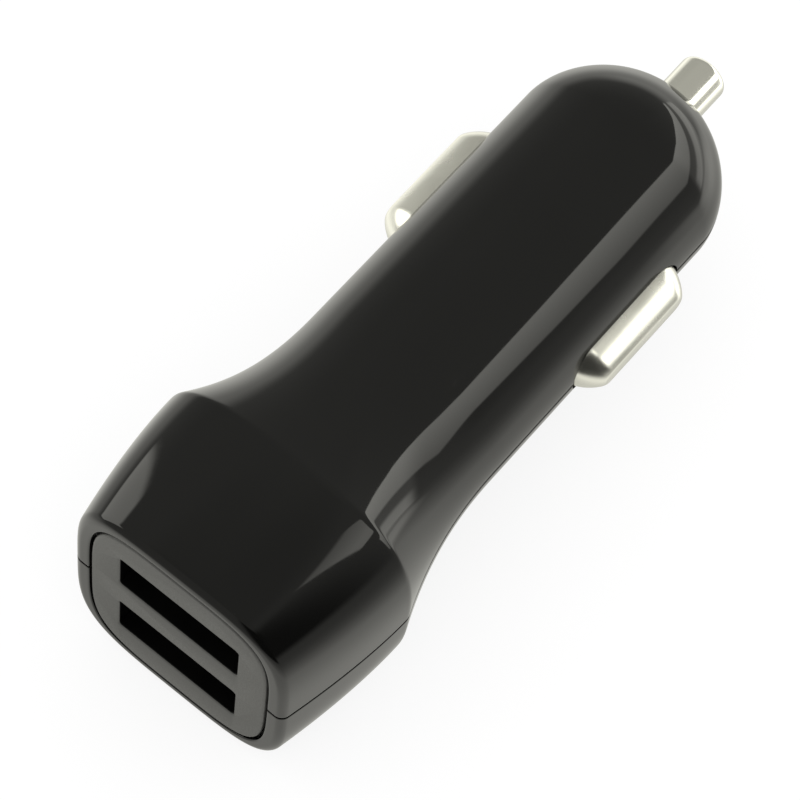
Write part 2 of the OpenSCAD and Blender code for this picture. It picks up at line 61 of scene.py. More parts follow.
# Meshes from numpy grids
# A mesh object from points in mm and a list of faces, smooth but for edges sharper than sharpAngle.
def meshFrom(name, points, faces, sharpAngle=40):
    mesh = bpy.data.meshes.new(name)
    mesh.from_pydata((np.asarray(points) * mm).tolist(), [], faces)
    mesh.validate()
    obj = bpy.data.objects.new(name, mesh)
    bpy.context.scene.collection.objects.link(obj)
    smoothByAngle(obj, sharpAngle)
    return obj


def smoothByAngle(obj, sharpAngle):
    mesh = obj.data
    mesh.polygons.foreach_set("use_smooth", np.ones(len(mesh.polygons), bool))
    mesh.set_sharp_from_angle(angle=math.radians(sharpAngle))
    mesh.update()


# Quads of a rows by cols grid: point (r, c) joins its neighbours in the next row and column.
def gridFaces(rows, cols, wrapRows, wrapCols):
    r = np.arange(rows if wrapRows else rows - 1)[:, None]
    c = np.arange(cols if wrapCols else cols - 1)[None, :]
    nextRow, nextCol = (r + 1) % rows, (c + 1) % cols
    quads = np.stack([r * cols + c, r * cols + nextCol, nextRow * cols + nextCol, nextRow * cols + c], -1)
    return quads.reshape(-1, 4)


# A closed form from a grid of points: open ends of rows or columns are capped with one flat face.
def closedGrid(name, grid, wrapRows=False, wrapCols=True, capRows=True, capCols=False, sharpAngle=40):
    rows, cols = grid.shape[:2]
    points = grid.reshape(-1, 3)
    faces = gridFaces(rows, cols, wrapRows, wrapCols)
    index = np.arange(rows * cols).reshape(rows, cols)
    caps = []
    if capRows:
        caps += [index[0][::-1], index[-1]]
    if capCols:
        caps += [index[:, 0], index[:, -1][::-1]]
    # six times the volume of the quads and caps: its sign tells which way the faces look
    a, b, c, d = (points[faces[:, k]] for k in range(4))
    volume = np.einsum("ij,ij->", a, np.cross(b, c)) + np.einsum("ij,ij->", a, np.cross(c, d))
    for cap in caps:
        p = points[cap]
        volume += np.einsum("ij,ij->", np.broadcast_to(p[0], p[1:-1].shape), np.cross(p[1:-1], p[2:]))
    allFaces = faces.tolist() + [cap.tolist() for cap in caps]
    if volume < 0:
        allFaces = [face[::-1] for face in allFaces]
    return meshFrom(name, points, allFaces, sharpAngle)


# Makes what the modifiers of obj give its plain mesh.
def applyModifiers(obj):
    bpy.context.view_layer.update()
    shape = obj.evaluated_get(bpy.context.evaluated_depsgraph_get())
    result = bpy.data.meshes.new_from_object(shape)
    obj.modifiers.clear()
    old, obj.data = obj.data, result
    bpy.data.meshes.remove(old)


# Takes the cutters out of obj with exact booleans, and leaves a plain mesh behind.
def cut(obj, cutters, sharpAngle=40):
    for cutter in cutters:
        step = obj.modifiers.new("cut", "BOOLEAN")
        step.operation, step.solver, step.object = "DIFFERENCE", "EXACT", cutter
    applyModifiers(obj)
    for cutter in cutters:
        bpy.data.objects.remove(cutter)
    smoothByAngle(obj, sharpAngle)
    return obj


# Point of a superellipse at a polar angle: the radius is (|cos/w|^n + |sin/h|^n)^(-1/n).
def oval(w, h, n, angle):
    c, s = np.cos(angle), np.sin(angle)
    radius = (np.abs(c / w) ** n + np.abs(s / h) ** n) ** (-1 / n)
    return radius * c, radius * s


# Housing: outline along the axis
housing = {
    "frontHalfW": 11.4, "frontHalfH": 12.4, "ridgeHalfW": 13.5, "ridgeHalfH": 13.1, "ridgeY": 14.2,
    "frontSquare": 3.9, "ridgeSquare": 3.1, "squareCurve": 0.6, "headBulge": 1.6,
    "rimEdge": 0.7, "rimSetback": 0.03, "rimLip": 0.12,
    "neckEndY": 30.0, "neckCurve": 2.2, "shankR": 10.45, "pilotR": 10.35, "pilotY": 56.0,
    "noseY": 59.3, "noseLen": 9.5, "nosePower": 1.85,
    "boreR": 2.45, "boreEndY": 64.2, "boreEdge": 0.1, "boreEdgeDeep": 0.07, "boreStep": 0.5,
    "guideR": 4.2, "guideLen": 1.3, "leastInside": 4.3,
    "wall": 1.6, "thickerBy": 0.8, "thickerTo": 5, "ridgeSoft": 0.5, "fineBefore": 1.2, "fineAfter": 1.4,
    "partGap": 0.01, "seamGap": 0.18, "seamDepth": 0.5, "seamEdgeW": 0.05, "seamEdgeDeep": 0.03,
    "firstZ": 0.3, "columns": 180,
    "contactY": 48.0, "contactLen": 14.9, "contactH": 5.5, "cutFrom": 3.0, "cutTo": 20.0,
}
plate = {
    "halfW": 9.55, "halfH": 10.95, "square": 4.1, "thick": 2.2, "gap": 0.26, "edge": 0.25,
    "flangeW": 0.5, "flangeT": 0.8, "grooveBehind": 0.6, "grooveBefore": 0.05, "pocketY": 0.8,
    "slotW": 12.8, "slotH": 5.0, "slotPitch": 8.8, "slotBevel": 0.25, "slotCorner": 0.35, "slotMargin": 0.05,
}


# Half width or height: a power curve up to the ridge, then a hollow power curve down to the shank.
def halfSize(y, front, ridge):
    k = housing
    head = ridge - (ridge - front) * (1 - np.clip(y / k["ridgeY"], 0, 1)) ** k["headBulge"]
    t = np.clip((y - k["ridgeY"]) / (k["neckEndY"] - k["ridgeY"]), 0, 1)
    taper = np.clip((y - k["neckEndY"]) / (k["pilotY"] - k["neckEndY"]), 0, 1)
    shank = k["shankR"] - (k["shankR"] - k["pilotR"]) * taper
    neck = shank + (ridge - k["shankR"]) * (1 - t) ** k["neckCurve"]
    return np.where(y <= k["ridgeY"], head, neck)


# halfSize averaged over a short stretch, which rounds the ridge and the ends of the neck.
def softHalf(y, front, ridge):
    shift = np.linspace(-1, 1, 21)[:, None]
    weight = np.cos(shift * math.pi / 2) ** 2
    reach = housing["ridgeSoft"] * np.clip(y / housing["ridgeSoft"], 0.02, 1)
    return (halfSize(y[None] + shift * reach[None], front, ridge) * weight).sum(0) / weight.sum()


# Power of the section's oval: from the front's to the ridge's, then down to a circle's 2 along the neck.
def squareAt(y):
    k = housing
    head = k["frontSquare"] + (k["ridgeSquare"] - k["frontSquare"]) * np.clip(y / k["ridgeY"], 0, 1)
    t = np.clip((y - k["ridgeY"]) / (k["neckEndY"] - k["ridgeY"]), 0, 1)
    neck = 2 + (k["ridgeSquare"] - 2) * (1 - t) ** (k["neckCurve"] + k["squareCurve"])
    return np.where(y <= k["ridgeY"], head, neck)


# Section at y, drawn in by inset: half width, half height, squareness and y. size is halfSize or softHalf.
def sectionAt(size, y, inset=0):
    k = housing
    halfW = size(y, k["frontHalfW"], k["ridgeHalfW"]) - inset
    halfH = size(y, k["frontHalfH"], k["ridgeHalfH"]) - inset
    return halfW, halfH, squareAt(y), y


# Stations round one wall of the housing: half width, half height, squareness and y, with 1 on the
# outside skin, a half on the lip round the face plate and 0 inside.
def outlineLoop():
    k, p = housing, plate
    parts = []

    def add(w, h, n, y, skin):
        size = np.broadcast(w, h, n, y).shape or (1,)
        columns = [np.broadcast_to(np.asarray(v, float), size) for v in (w, h, n, y, skin)]
        parts.append(np.stack(columns, -1))

    # rounded lip round the face plate
    lip, edge, frontY = k["rimLip"], k["rimEdge"], k["rimSetback"]
    pocketW, pocketH = p["halfW"] + p["gap"], p["halfH"] + p["gap"]
    bend = np.radians(np.linspace(0, 90, 5))
    out = lip * (1 - np.cos(bend))
    add(pocketW + out, pocketH + out, p["square"], frontY + lip * (1 - np.sin(bend)), 0.5)
    # flat front of the rim, its rounded outer edge, then the outside up to the nose
    turn = np.radians(np.linspace(0, 90, 13))
    y = frontY + edge * (1 - np.cos(turn))
    inset = edge * (1 - np.sin(turn))
    edgeW, edgeH = sectionAt(softHalf, y[:1], inset[:1])[:2]
    across = np.linspace(0, 1, 5)[1:-1]
    add(pocketW + lip + (edgeW - pocketW - lip) * across, pocketH + lip + (edgeH - pocketH - lip) * across,
        p["square"] + (k["frontSquare"] - p["square"]) * across, frontY, 1)
    add(*sectionAt(softHalf, y, inset), 1)
    fineFrom, fineTo = k["ridgeY"] - k["fineBefore"], k["ridgeY"] + k["fineAfter"]
    y = np.concatenate([np.linspace(frontY + edge, fineFrom, 46)[1:],
                        np.linspace(fineFrom, fineTo, 31)[1:],
                        np.linspace(fineTo, k["neckEndY"], 60)[1:],
                        np.linspace(k["neckEndY"], k["noseY"], 90)[1:]])
    add(*sectionAt(softHalf, y), 1)
    # nose: r and y each follow a power of cosine and sine
    turn = np.radians(np.linspace(0, 90, 400))
    r = k["pilotR"] * np.cos(turn) ** (2 / k["nosePower"])
    y = k["noseY"] + k["noseLen"] * np.sin(turn) ** (2 / k["nosePower"])
    length = np.concatenate([[0], np.cumsum(np.hypot(np.diff(r), np.diff(y)))])
    stop = np.interp(-(k["boreR"] + k["boreEdge"]), -r, length)
    at = np.linspace(0, stop, 62)[1:]
    r, y = np.interp(at, length, r), np.interp(at, length, y)
    add(r, r, 2, y, 1)
    # bore of the pin and the guide round it, then the inside of the nose
    tipY, boreR, guideR = y[-1], k["boreR"], k["guideR"]
    guideY = k["boreEndY"] + k["guideLen"]
    add(boreR, boreR, 2, tipY - k["boreEdgeDeep"], 0)
    add(boreR, boreR, 2, np.linspace(tipY - k["boreStep"], k["boreEndY"], 6), 0)
    add(guideR, guideR, 2, np.array([k["boreEndY"], guideY]), 0)
    y = np.linspace(guideY, k["noseY"], 12)[1:]
    t = np.clip((y - k["noseY"]) / (k["noseLen"] - k["wall"]), 0, 1)
    r = (k["pilotR"] - k["wall"]) * (1 - t ** k["nosePower"]) ** (1 / k["nosePower"])
    r = np.maximum(r, k["leastInside"])
    add(r, r, 2, y, 0)
    # inside of the shank, neck and head, whose wall grows towards the groove of the face plate
    y = np.concatenate([np.linspace(k["noseY"], k["neckEndY"], 12)[1:],
                        np.linspace(k["neckEndY"], k["thickerTo"], 34)[1:]])
    add(*sectionAt(halfSize, y, k["wall"]), 0)
    grooveEndY = p["thick"] + p["grooveBehind"]
    grooveY = p["thick"] - p["flangeT"] - p["grooveBefore"]
    y = np.linspace(k["thickerTo"], grooveEndY, 6)[1:]
    add(*sectionAt(halfSize, y, k["wall"] + k["thickerBy"] * (1 - y / k["thickerTo"])), 0)
    add(pocketW + p["flangeW"], pocketH + p["flangeW"], p["square"], np.array([grooveEndY, grooveY]), 0)
    add(pocketW, pocketH, p["square"], np.array([grooveY, p["pocketY"]]), 0)
    return np.concatenate(parts)


# Half of the housing: every station of the loop is turned from one parting face to the other.
# The first columns at each side step the skin in, which leaves the fine groove of the seam.
def shellHalf(name, up):
    k = housing
    w, h, n, y, skin = outlineLoop().T[:, :, None]
    low = np.array([[k["partGap"], k["seamGap"], k["seamGap"], k["seamGap"] + k["seamEdgeW"]]])
    step = np.array([[k["seamDepth"], k["seamDepth"], k["seamEdgeDeep"], 0.0]])
    # the step runs square to the skin: back at the rim's front, round its edge, then inwards
    back = 1 - np.clip((y - k["rimSetback"]) / k["rimEdge"], 0, 1)
    sideX = w * (1 - (low / h) ** n) ** (1 / n) - step * np.sqrt(1 - back ** 2) * (skin == 1)
    sideY = y + step * back * (skin > 0)
    sideZ = np.broadcast_to(low, sideX.shape)
    start = np.arcsin(np.clip(k["firstZ"] / w, 0, 0.5))
    turn = np.linspace(0, 1, k["columns"])[None, :]
    x, z = oval(w, h, n, start + (math.pi - 2 * start) * turn)
    x = np.concatenate([sideX, x, -sideX[:, ::-1]], 1)
    z = np.concatenate([sideZ, z, sideZ[:, ::-1]], 1) * up
    y = np.concatenate([sideY, np.broadcast_to(y, (len(y), k["columns"])), sideY[:, ::-1]], 1)
    grid = np.stack([x, y, z], -1)
    obj = closedGrid(name, grid, wrapRows=True, wrapCols=False, capRows=False, capCols=True, sharpAngle=35)
    return cut(obj, [slotCutter(side) for side in (-1, 1)], 35)


# Outline in Y and Z of a bar with round ends, as one closed ring.
def stadium(length, height, steps):
    turn = np.radians(np.linspace(90, -90, steps))
    middle, r = (length - height) / 2, height / 2
    y = np.concatenate([middle + r * np.cos(turn), -middle - r * np.cos(turn)])
    z = np.concatenate([r * np.sin(turn), -r * np.sin(turn)])
    return y, z


# The space of one side contact, a little larger than the contact itself.
def slotCutter(side):
    k = housing
    y, z = stadium(k["contactLen"], k["contactH"], 40)
    x = np.array([k["cutFrom"], k["cutTo"]])[:, None] * side
    grid = np.stack(np.broadcast_arrays(x, y[None] + k["contactY"], z[None]), -1)
    return closedGrid("cutter", grid)


housingTop = shellHalf("housing_top", 1)
housingBottom = shellHalf("housing_bottom", -1)
print("stage: housing")


# Face plate
# Prism whose outline ring(grow) shrinks or grows by inset at each depth.
def roundedBlock(name, ring, depth, inset):
    rows = []
    for y, grow in zip(depth, inset):
        x, z = ring(grow)
        rows.append(np.stack([x, np.full(x.shape, y), z], -1))
    return closedGrid(name, np.stack(rows))


# The face plate's outline, an oval with a high power.
def plateRing(grow):
    turn = np.linspace(0, 2 * math.pi, 361)[:-1]
    return oval(plate["halfW"] + grow, plate["halfH"] + grow, plate["square"], turn)


# A rectangle with rounded corners.
def slotRing(grow):
    w, h = plate["slotW"] / 2 + grow, plate["slotH"] / 2 + grow
    r = plate["slotCorner"] + max(grow, 0)
    turn = np.radians(np.linspace(0, 90, 9))
    cornerX = [w - r, -(w - r), -(w - r), w - r]
    cornerZ = [h - r, h - r, -(h - r), -(h - r)]
    x = np.concatenate([cx + r * np.cos(turn + k * math.pi / 2) for k, cx in enumerate(cornerX)])
    z = np.concatenate([cz + r * np.sin(turn + k * math.pi / 2) for k, cz in enumerate(cornerZ)])
    return x, z


# The plate with its rounded front edge, its flange and the two slots, whose rims are rounded outwards.
def facePlate():
    p = plate
    bend = np.radians(np.linspace(0, 90, 7))
    front, flangeY = p["edge"] * (1 - np.cos(bend)), p["thick"] - p["flangeT"]
    depth = np.concatenate([front, [flangeY, flangeY, p["thick"]]])
    inset = np.concatenate([-p["edge"] * (1 - np.sin(bend)), [0, p["flangeW"], p["flangeW"]]])
    obj = roundedBlock("face_plate_dressed", plateRing, depth, inset)
    cutters = []
    for side in (-1, 1):
        depth = np.concatenate([[-1.0], p["slotBevel"] * np.sin(bend), [p["thick"] + 1]])
        grow = p["slotBevel"] * (1 - np.sqrt(1 - (1 - np.sin(bend)) ** 2))
        cutter = roundedBlock("cutter", slotRing, depth, np.concatenate([[p["slotBevel"]], grow, [0]]))
        cutter.data.transform(Matrix.Translation((0, 0, side * p["slotPitch"] / 2 * mm)))
        cutters.append(cutter)
    return cut(obj, cutters, 40)


# Marks the faces of the slot walls, which are smooth and get a near black that paints the shade inside the slots
def markSlots(obj):
    p, count = plate, len(obj.data.polygons)
    centre, normal = np.empty(count * 3), np.empty(count * 3)
    obj.data.polygons.foreach_get("center", centre)
    obj.data.polygons.foreach_get("normal", normal)
    centre, normal = centre.reshape(-1, 3) / mm, normal.reshape(-1, 3)
    insideX = np.abs(centre[:, 0]) < p["slotW"] / 2 + p["slotMargin"]
    insideZ = np.abs(np.abs(centre[:, 2]) - p["slotPitch"] / 2) < p["slotH"] / 2 + p["slotMargin"]
    isWall = (np.abs(normal[:, 1]) < 0.5) & (centre[:, 1] > p["slotMargin"])
    return (insideX & insideZ & isWall).astype(np.int32)


facePlateDressed = facePlate()
slotWalls = markSlots(facePlateDressed)
print("stage: face plate")


# Side contacts
contact = {
    "len": 14.6, "h": 5.3, "y": 48.0, "reach": 12.5, "endR": 1.9, "edgeR": 1.75, "shoulder": 2.6, "power": 1.34,
    "crown": 0.06, "crownShare": 0.9, "sheet": 0.6, "lipX": 8.0, "lipT": 0.6, "lipW": 0.8,
    "innerDeep": 0.2, "innerInset": 0.1,
}


# A pressed cup: nested stadium rings from the middle of the face, round its edge, down to the lip and back inside.
def contactPiece(name, side):
    k = contact
    rings = []

    def ring(depth, insetLen, insetH):
        y, z = stadium(k["len"] - 2 * insetLen, k["h"] - 2 * insetH, 33)
        rings.append(np.stack([np.full(y.shape, k["reach"] - depth), y + k["y"], z], -1))

    flatH = k["h"] / 2 - k["edgeR"]
    for t in np.linspace(0.03, 0.97, 12):
        depth = k["crown"] * (1 - math.cos(t * math.pi / 2)) * k["crownShare"]
        ring(depth, k["endR"] + flatH * (1 - t), k["edgeR"] + flatH * (1 - t))
    # shoulder: a power curve, rise^power + spread^power = 1, flatter than a quarter round
    for turn in np.radians(np.linspace(0, 90, 30)):
        rise, spread = math.cos(turn) ** (2 / k["power"]), math.sin(turn) ** (2 / k["power"])
        depth = k["crown"] + (k["shoulder"] - k["crown"]) * (1 - rise)
        ring(depth, k["endR"] * (1 - spread), k["edgeR"] * (1 - spread))
    lipDepth, lipW, sheet = k["reach"] - k["lipX"], k["lipW"], k["sheet"]
    ring(lipDepth, 0, 0)
    ring(lipDepth, -lipW, -lipW)
    ring(lipDepth + k["lipT"], -lipW, -lipW)
    ring(lipDepth + k["lipT"], sheet, sheet)
    ring(sheet + k["shoulder"], sheet, sheet)
    ring(sheet + k["innerDeep"], k["endR"] + k["innerInset"], k["edgeR"] + k["innerInset"])
    grid = np.stack(rings)
    grid[..., 0] *= side
    return closedGrid(name, grid, sharpAngle=38)


rightContact = contactPiece("right_contact_plated", 1)
leftContact = contactPiece("left_contact_plated", -1)
print("stage: side contacts")


# Centre pin and its spring
pin = {
    "r": 2.33, "endY": 73.3, "edge": 0.75, "collarR": 3.4, "collarY": 63.1, "collarT": 1.0,
    "tailR": 1.3, "tailY": 59.55, "tailEdge": 0.2, "endRings": (1.2, 0.6, 0.05),
}
spring = {"radius": 1.9, "wireR": 0.2, "turns": 6}


# A profile of (radius, y) turned round the Y axis; both ends are closed by a flat face.
def turned(name, profile, sides, sharpAngle=30):
    turn = np.linspace(0, 2 * math.pi, sides + 1)[:-1]
    r, y = np.array(profile, float).T[:, :, None]
    grid = np.stack(np.broadcast_arrays(r * np.cos(turn), y, r * np.sin(turn)), -1)
    return closedGrid(name, grid, sharpAngle=sharpAngle)


# The pin from its tail through the collar to the rounded edge of its flat end.
def pinPiece():
    k = pin
    bend = np.radians(np.linspace(0, 90, 14))
    collarEndY = k["collarY"] + k["collarT"]
    profile = [(k["tailR"] - k["tailEdge"], k["tailY"]), (k["tailR"], k["tailY"] + k["tailEdge"]),
               (k["tailR"], k["collarY"]), (k["collarR"], k["collarY"]),
               (k["collarR"], collarEndY), (k["r"], collarEndY)]
    profile += [(k["r"], y) for y in np.linspace(collarEndY, k["endY"] - k["edge"], 20)[1:-1]]
    profile += [(k["r"] - k["edge"] * (1 - math.cos(b)), k["endY"] - k["edge"] * (1 - math.sin(b))) for b in bend]
    profile += [(r, k["endY"]) for r in k["endRings"]]
    return turned("centre_pin_plated", profile, 128)


# A round wire swept along a helix round the Y axis.
def coil(name, radius, wireR, fromY, toY, turns, perTurn=40, wireSides=12):
    t = np.linspace(0, 1, turns * perTurn + 1)[:, None]
    wire = np.linspace(0, 2 * math.pi, wireSides + 1)[None, :-1]
    angle = 2 * math.pi * turns * t
    r = radius + wireR * np.cos(wire)
    along = fromY + (toY - fromY) * t + wireR * np.sin(wire)
    return closedGrid(name, np.stack([r * np.cos(angle), along, r * np.sin(angle)], -1))


centrePin = pinPiece()
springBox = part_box("centre_spring")
centreSpring = coil("centre_spring_wire", spring["radius"], spring["wireR"], springBox[0].y / mm + spring["wireR"],
                    springBox[1].y / mm - spring["wireR"], spring["turns"])
print("stage: centre pin")


# A merged copy of a CAD node's mesh as a piece of its own.
def copyOf(node, name):
    obj = bpy.data.objects.new(name, nodes[node].data.copy())
    bpy.context.scene.collection.objects.link(obj)
    obj.modifiers.new("weld", "WELD").merge_threshold = 1e-6
    applyModifiers(obj)
    smoothByAngle(obj, 35)
    return obj


rightLeaf = copyOf("right_leaf_spring", "right_leaf_bow")
leftLeaf = copyOf("left_leaf_spring", "left_leaf_bow")


# Materials
# Short names for the nodes of one material.
class Nodes:

    def __init__(self, name):
        self.material = bpy.data.materials.new(name)
        self.material.use_nodes = True
        self.tree = self.material.node_tree
        self.shader = self.tree.nodes["Principled BSDF"]
        self.coords = self.tree.nodes.new("ShaderNodeTexCoord")

    # noise in the piece's own frame; a small stretch value draws it out along that axis
    def noise(self, scale, detail=3.0, rough=0.5, stretch=(1, 1, 1)):
        place = self.tree.nodes.new("ShaderNodeMapping")
        place.inputs["Scale"].default_value = stretch
        self.tree.links.new(self.coords.outputs["Object"], place.inputs["Vector"])
        node = self.tree.nodes.new("ShaderNodeTexNoise")
        node.inputs["Scale"].default_value = scale
        node.inputs["Detail"].default_value = detail
        node.inputs["Roughness"].default_value = rough
        self.tree.links.new(place.outputs["Vector"], node.inputs["Vector"])
        return node.outputs["Fac"]

    # value moved from its own range to the range from low to high
    def spread(self, value, low, high, fromLow=0.0, fromHigh=1.0):
        node = self.tree.nodes.new("ShaderNodeMapRange")
        node.inputs["From Min"].default_value = fromLow
        node.inputs["From Max"].default_value = fromHigh
        node.inputs["To Min"].default_value = low
        node.inputs["To Max"].default_value = high
        self.tree.links.new(value, node.inputs["Value"])
        return node.outputs["Result"]

    # a colour between two, by value
    def blend(self, value, first, second):
        node = self.tree.nodes.new("ShaderNodeMix")
        node.data_type = "RGBA"
        self.tree.links.new(value, node.inputs["Factor"])
        node.inputs[6].default_value = (*first, 1)
        node.inputs[7].default_value = (*second, 1)
        return node.outputs[2]

    # gives the shader a relief from height
    def bump(self, height, strength, distance):
        node = self.tree.nodes.new("ShaderNodeBump")
        node.inputs["Strength"].default_value = strength
        node.inputs["Distance"].default_value = distance
        self.tree.links.new(height, node.inputs["Height"])
        self.tree.links.new(node.outputs["Normal"], self.shader.inputs["Normal"])

    # sets an input of the shader to a value, or links it to a node's output
    def put(self, socket, value):
        if hasattr(value, "is_linked"):
            self.tree.links.new(value, self.shader.inputs[socket])
        else:
            self.shader.inputs[socket].default_value = value


# Polished moulding: a nearly black base, a soft unevenness of the polish and faint handling marks.
def glossBlack():
    m = Nodes("gloss_black")
    slow = m.noise(90, 2)
    fine = m.noise(1400, 4, 0.6)
    m.put("Base Color", m.blend(slow, (0.0012, 0.0012, 0.0011), (0.0026, 0.0026, 0.0024)))
    m.put("Roughness", m.spread(fine, 0.03, 0.07, 0.35, 0.75))
    m.put("IOR", 1.5)
    m.bump(slow, 0.02, 0.0002)
    return m.material


# Spark-textured moulding of the face plate: fine even grain, a little lighter than the housing.
def satinBlack():
    m = Nodes("satin_black")
    grain = m.noise(5200, 3, 0.6)
    slow = m.noise(160, 2)
    m.put("Base Color", m.blend(slow, (0.064, 0.064, 0.058), (0.074, 0.074, 0.067)))
    m.put("Roughness", m.spread(grain, 0.38, 0.52, 0.3, 0.7))
    m.put("IOR", 1.5)
    m.bump(grain, 0.25, 0.00003)
    return m.material


# Bright nickel on a pressed or turned part, with fine lines along it and soft uneven polish.
def nickel(name, shade, low, high, stretch=(1, 0.08, 1)):
    m = Nodes(name)
    lines = m.noise(5000, 3, 0.55, stretch)
    slow = m.noise(260, 3)
    dull = (shade, shade - 0.005, shade * 0.91)
    clean = (shade + 0.05, shade + 0.045, shade * 0.91 + 0.05)
    m.put("Metallic", 1.0)
    m.put("Base Color", m.blend(slow, dull, clean))
    m.put("Roughness", m.spread(slow, low, high, 0.3, 0.7))
    m.bump(lines, 0.04, 0.00002)
    return m.material


# A plain finish for an inner part: two near shades, an uneven roughness and a fine relief.
def simple(name, first, second, rough, scale=600, metallic=0.0, bump=0.2, stretch=(1, 1, 1)):
    m = Nodes(name)
    fac = m.noise(scale, 4, 0.6, stretch)
    m.put("Base Color", m.blend(fac, first, second))
    m.put("Roughness", m.spread(fac, rough - 0.08, rough + 0.08, 0.3, 0.7))
    m.put("Metallic", metallic)
    m.bump(fac, bump, 0.00005)
    return m.material


# Near black of the slot walls, far darker than the plate: painted shade for the dark inside of the slots, with little
# gloss.
def slotWallShade():
    m = Nodes("slot_wall_painted_shade")
    slow = m.noise(700, 2)
    m.put("Base Color", m.blend(slow, (0.0015, 0.0015, 0.0014), (0.003, 0.003, 0.0028)))
    m.put("Roughness", m.spread(slow, 0.28, 0.36))
    m.put("Specular IOR Level", 0.12)
    return m.material


gloss, satin = glossBlack(), satinBlack()
plated = nickel("bright_nickel", 0.85, 0.22, 0.29)
# the pin's copy of the contacts' nickel is brighter: painted light on the pin, with the smoother polish of a turned
# part
turnedPlateLit = nickel("turned_nickel_painted_light", 0.93, 0.14, 0.2)
# how the noise is drawn out on sheet metal, on wire and on a drawn can
metalSheet, coilWire, drawnCan = (1, 0.2, 1), (0.05, 0.05, 1), (1, 1, 0.1)
finishes = {
    "board_laminate": simple("solder_mask", (0.012, 0.13, 0.055), (0.02, 0.19, 0.085), 0.3, 900),
    "port_sheet": simple("tinned_sheet", (0.58, 0.57, 0.54), (0.68, 0.67, 0.64), 0.3, 1500, 1.0, 0.1, metalSheet),
    "black_insulator": simple("black_insulator", (0.014, 0.014, 0.015), (0.026, 0.026, 0.028), 0.5, 2500),
    "gilt_strip": simple("gilt_strip", (0.76, 0.55, 0.22), (0.86, 0.66, 0.30), 0.22, 1800, 1.0, 0.1, metalSheet),
    "spring_bronze": simple("spring_bronze", (0.56, 0.36, 0.18), (0.66, 0.44, 0.24), 0.3, 1600, 1.0, 0.1, metalSheet),
    "spring_steel": simple("spring_wire", (0.46, 0.46, 0.46), (0.56, 0.56, 0.55), 0.25, 2200, 1.0, 0.1),
    "seat_brass": simple("turned_brass", (0.70, 0.53, 0.25), (0.80, 0.62, 0.32), 0.28, 2200, 1.0, 0.1),
    "ferrite": simple("pressed_ferrite", (0.045, 0.045, 0.05), (0.08, 0.08, 0.088), 0.6, 1800),
    "copper_wire": simple("enamelled_copper", (0.50, 0.19, 0.08), (0.68, 0.30, 0.14), 0.25, 3200, 1.0, 0.5, coilWire),
    "capacitor_can": simple("drawn_aluminium", (0.64, 0.65, 0.66), (0.76, 0.77, 0.78), 0.28, 1500, 1.0, 0.1, drawnCan),
    "ceramic": simple("fired_ceramic", (0.42, 0.29, 0.18), (0.56, 0.42, 0.28), 0.5, 1500),
}


# Gives a piece one material on all its faces
def dress(obj, material):
    obj.data.materials.clear()
    obj.data.materials.append(material)
    obj.data.polygons.foreach_set("material_index", np.zeros(len(obj.data.polygons), np.int32))


slotOf = {row["node"]: row["material_slot"] for row in frame["record"]["subparts"]}
pieces = [
    (housingTop, "housing", "gloss_shell", gloss, ["top_shell"]),
    (housingBottom, "housing", "gloss_shell", gloss, ["bottom_shell"]),
    (facePlateDressed, "housing", "satin_plate", satin, ["face_plate"]),
    (rightContact, "right_contact", "nickel_plate", plated, ["right_contact"]),
    (leftContact, "left_contact", "nickel_plate", plated, ["left_contact"]),
    (centrePin, "pin", "nickel_plate", turnedPlateLit, ["centre_pin"]),
    (centreSpring, "housing", "spring_steel", finishes["spring_steel"], ["centre_spring"]),
    (rightLeaf, "housing", "spring_bronze", finishes["spring_bronze"], ["right_leaf_spring"]),
    (leftLeaf, "housing", "spring_bronze", finishes["spring_bronze"], ["left_leaf_spring"]),
]
replaced = set()
for obj, body, slotName, material, stoodFor in pieces:
    dress(obj, material)
    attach(obj, body)
    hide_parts(*stoodFor)
    replaced.update(stoodFor)
# the slot walls take the near black of the painted shade
facePlateDressed.data.materials.append(slotWallShade())
facePlateDressed.data.polygons.foreach_set("material_index", slotWalls)
for name, obj in nodes.items():
    if name not in replaced:
        for holder in obj.material_slots:
            holder.material = finishes[slotOf[name]]
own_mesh(centreSpring)
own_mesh(rightLeaf)
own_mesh(leftLeaf)
print("stage: pieces dressed")


# Studio: each light is a sheet that only gloss and metal see; the world gives matt surfaces an even level
tent = {"radius": 1500, "level": 0.385, "middleY": 35, "windows": [
    # azimuth from and to, elevation from and to, soft widths of both, level; azimuth 0 is -Y and 90 is +X
    (-180, 180, 71, 100, 1, 12, 0.3),
    (-180, -108, -5, 40, 10, 20, 0.36),
    (12, 108, 5, 66, 26, 14, 0.05),
    (25, 118, -91, -1, 20, 12, 0.42),
    (-180, -50, -91, -3, 20, 16, 0.85),
    (-104.4, -60, 5, 43.5, 2, 4, 2.2),
    (160, 215, -91, 0, 20, 14, 1.1),
    (15, 75, -9, 66, 20, 8, 0.03),
]}
# A standing light at the right: a flat wall facing azimuth, at a distance from middleY. Its bright band
# runs between upper and lower heights, over a dim strip, with a second band below that. The band's level
# is bright, with rise added over the heights and gain over the lengths of riseZ and gainAt (from, over)
wall = {
    "azimuth": 110, "distance": 110, "middleY": 43, "left": -10, "right": 420, "bottom": -40, "top": 110,
    "margin": 15, "fade": 60, "at": (-30, -10, 5, 15, 30, 55, 85, 100, 140, 180, 220, 300, 420),
    "upper": (86, 84, 82, 80, 80, 78, 74, 70, 66, 60, 52, 45, 40),
    "lower": (40, 36, 26, 22, 26, 27, 27, 27, 27, 27, 27, 27, 27),
    "softUpper": 3, "softLower": 5, "softLeft": 5,
    "bright": 1.35, "rise": 1.3, "riseZ": (25, 52), "gain": 0.6, "gainAt": (25, 45),
    "dim": 0.7, "dimAbove": 4, "dimSoft": 16, "dimShift": 0.8,
    "second": 1.9, "secondTop": 6, "secondLeft": 50, "secondSoftTop": 10, "secondSoftLeft": 26,
}
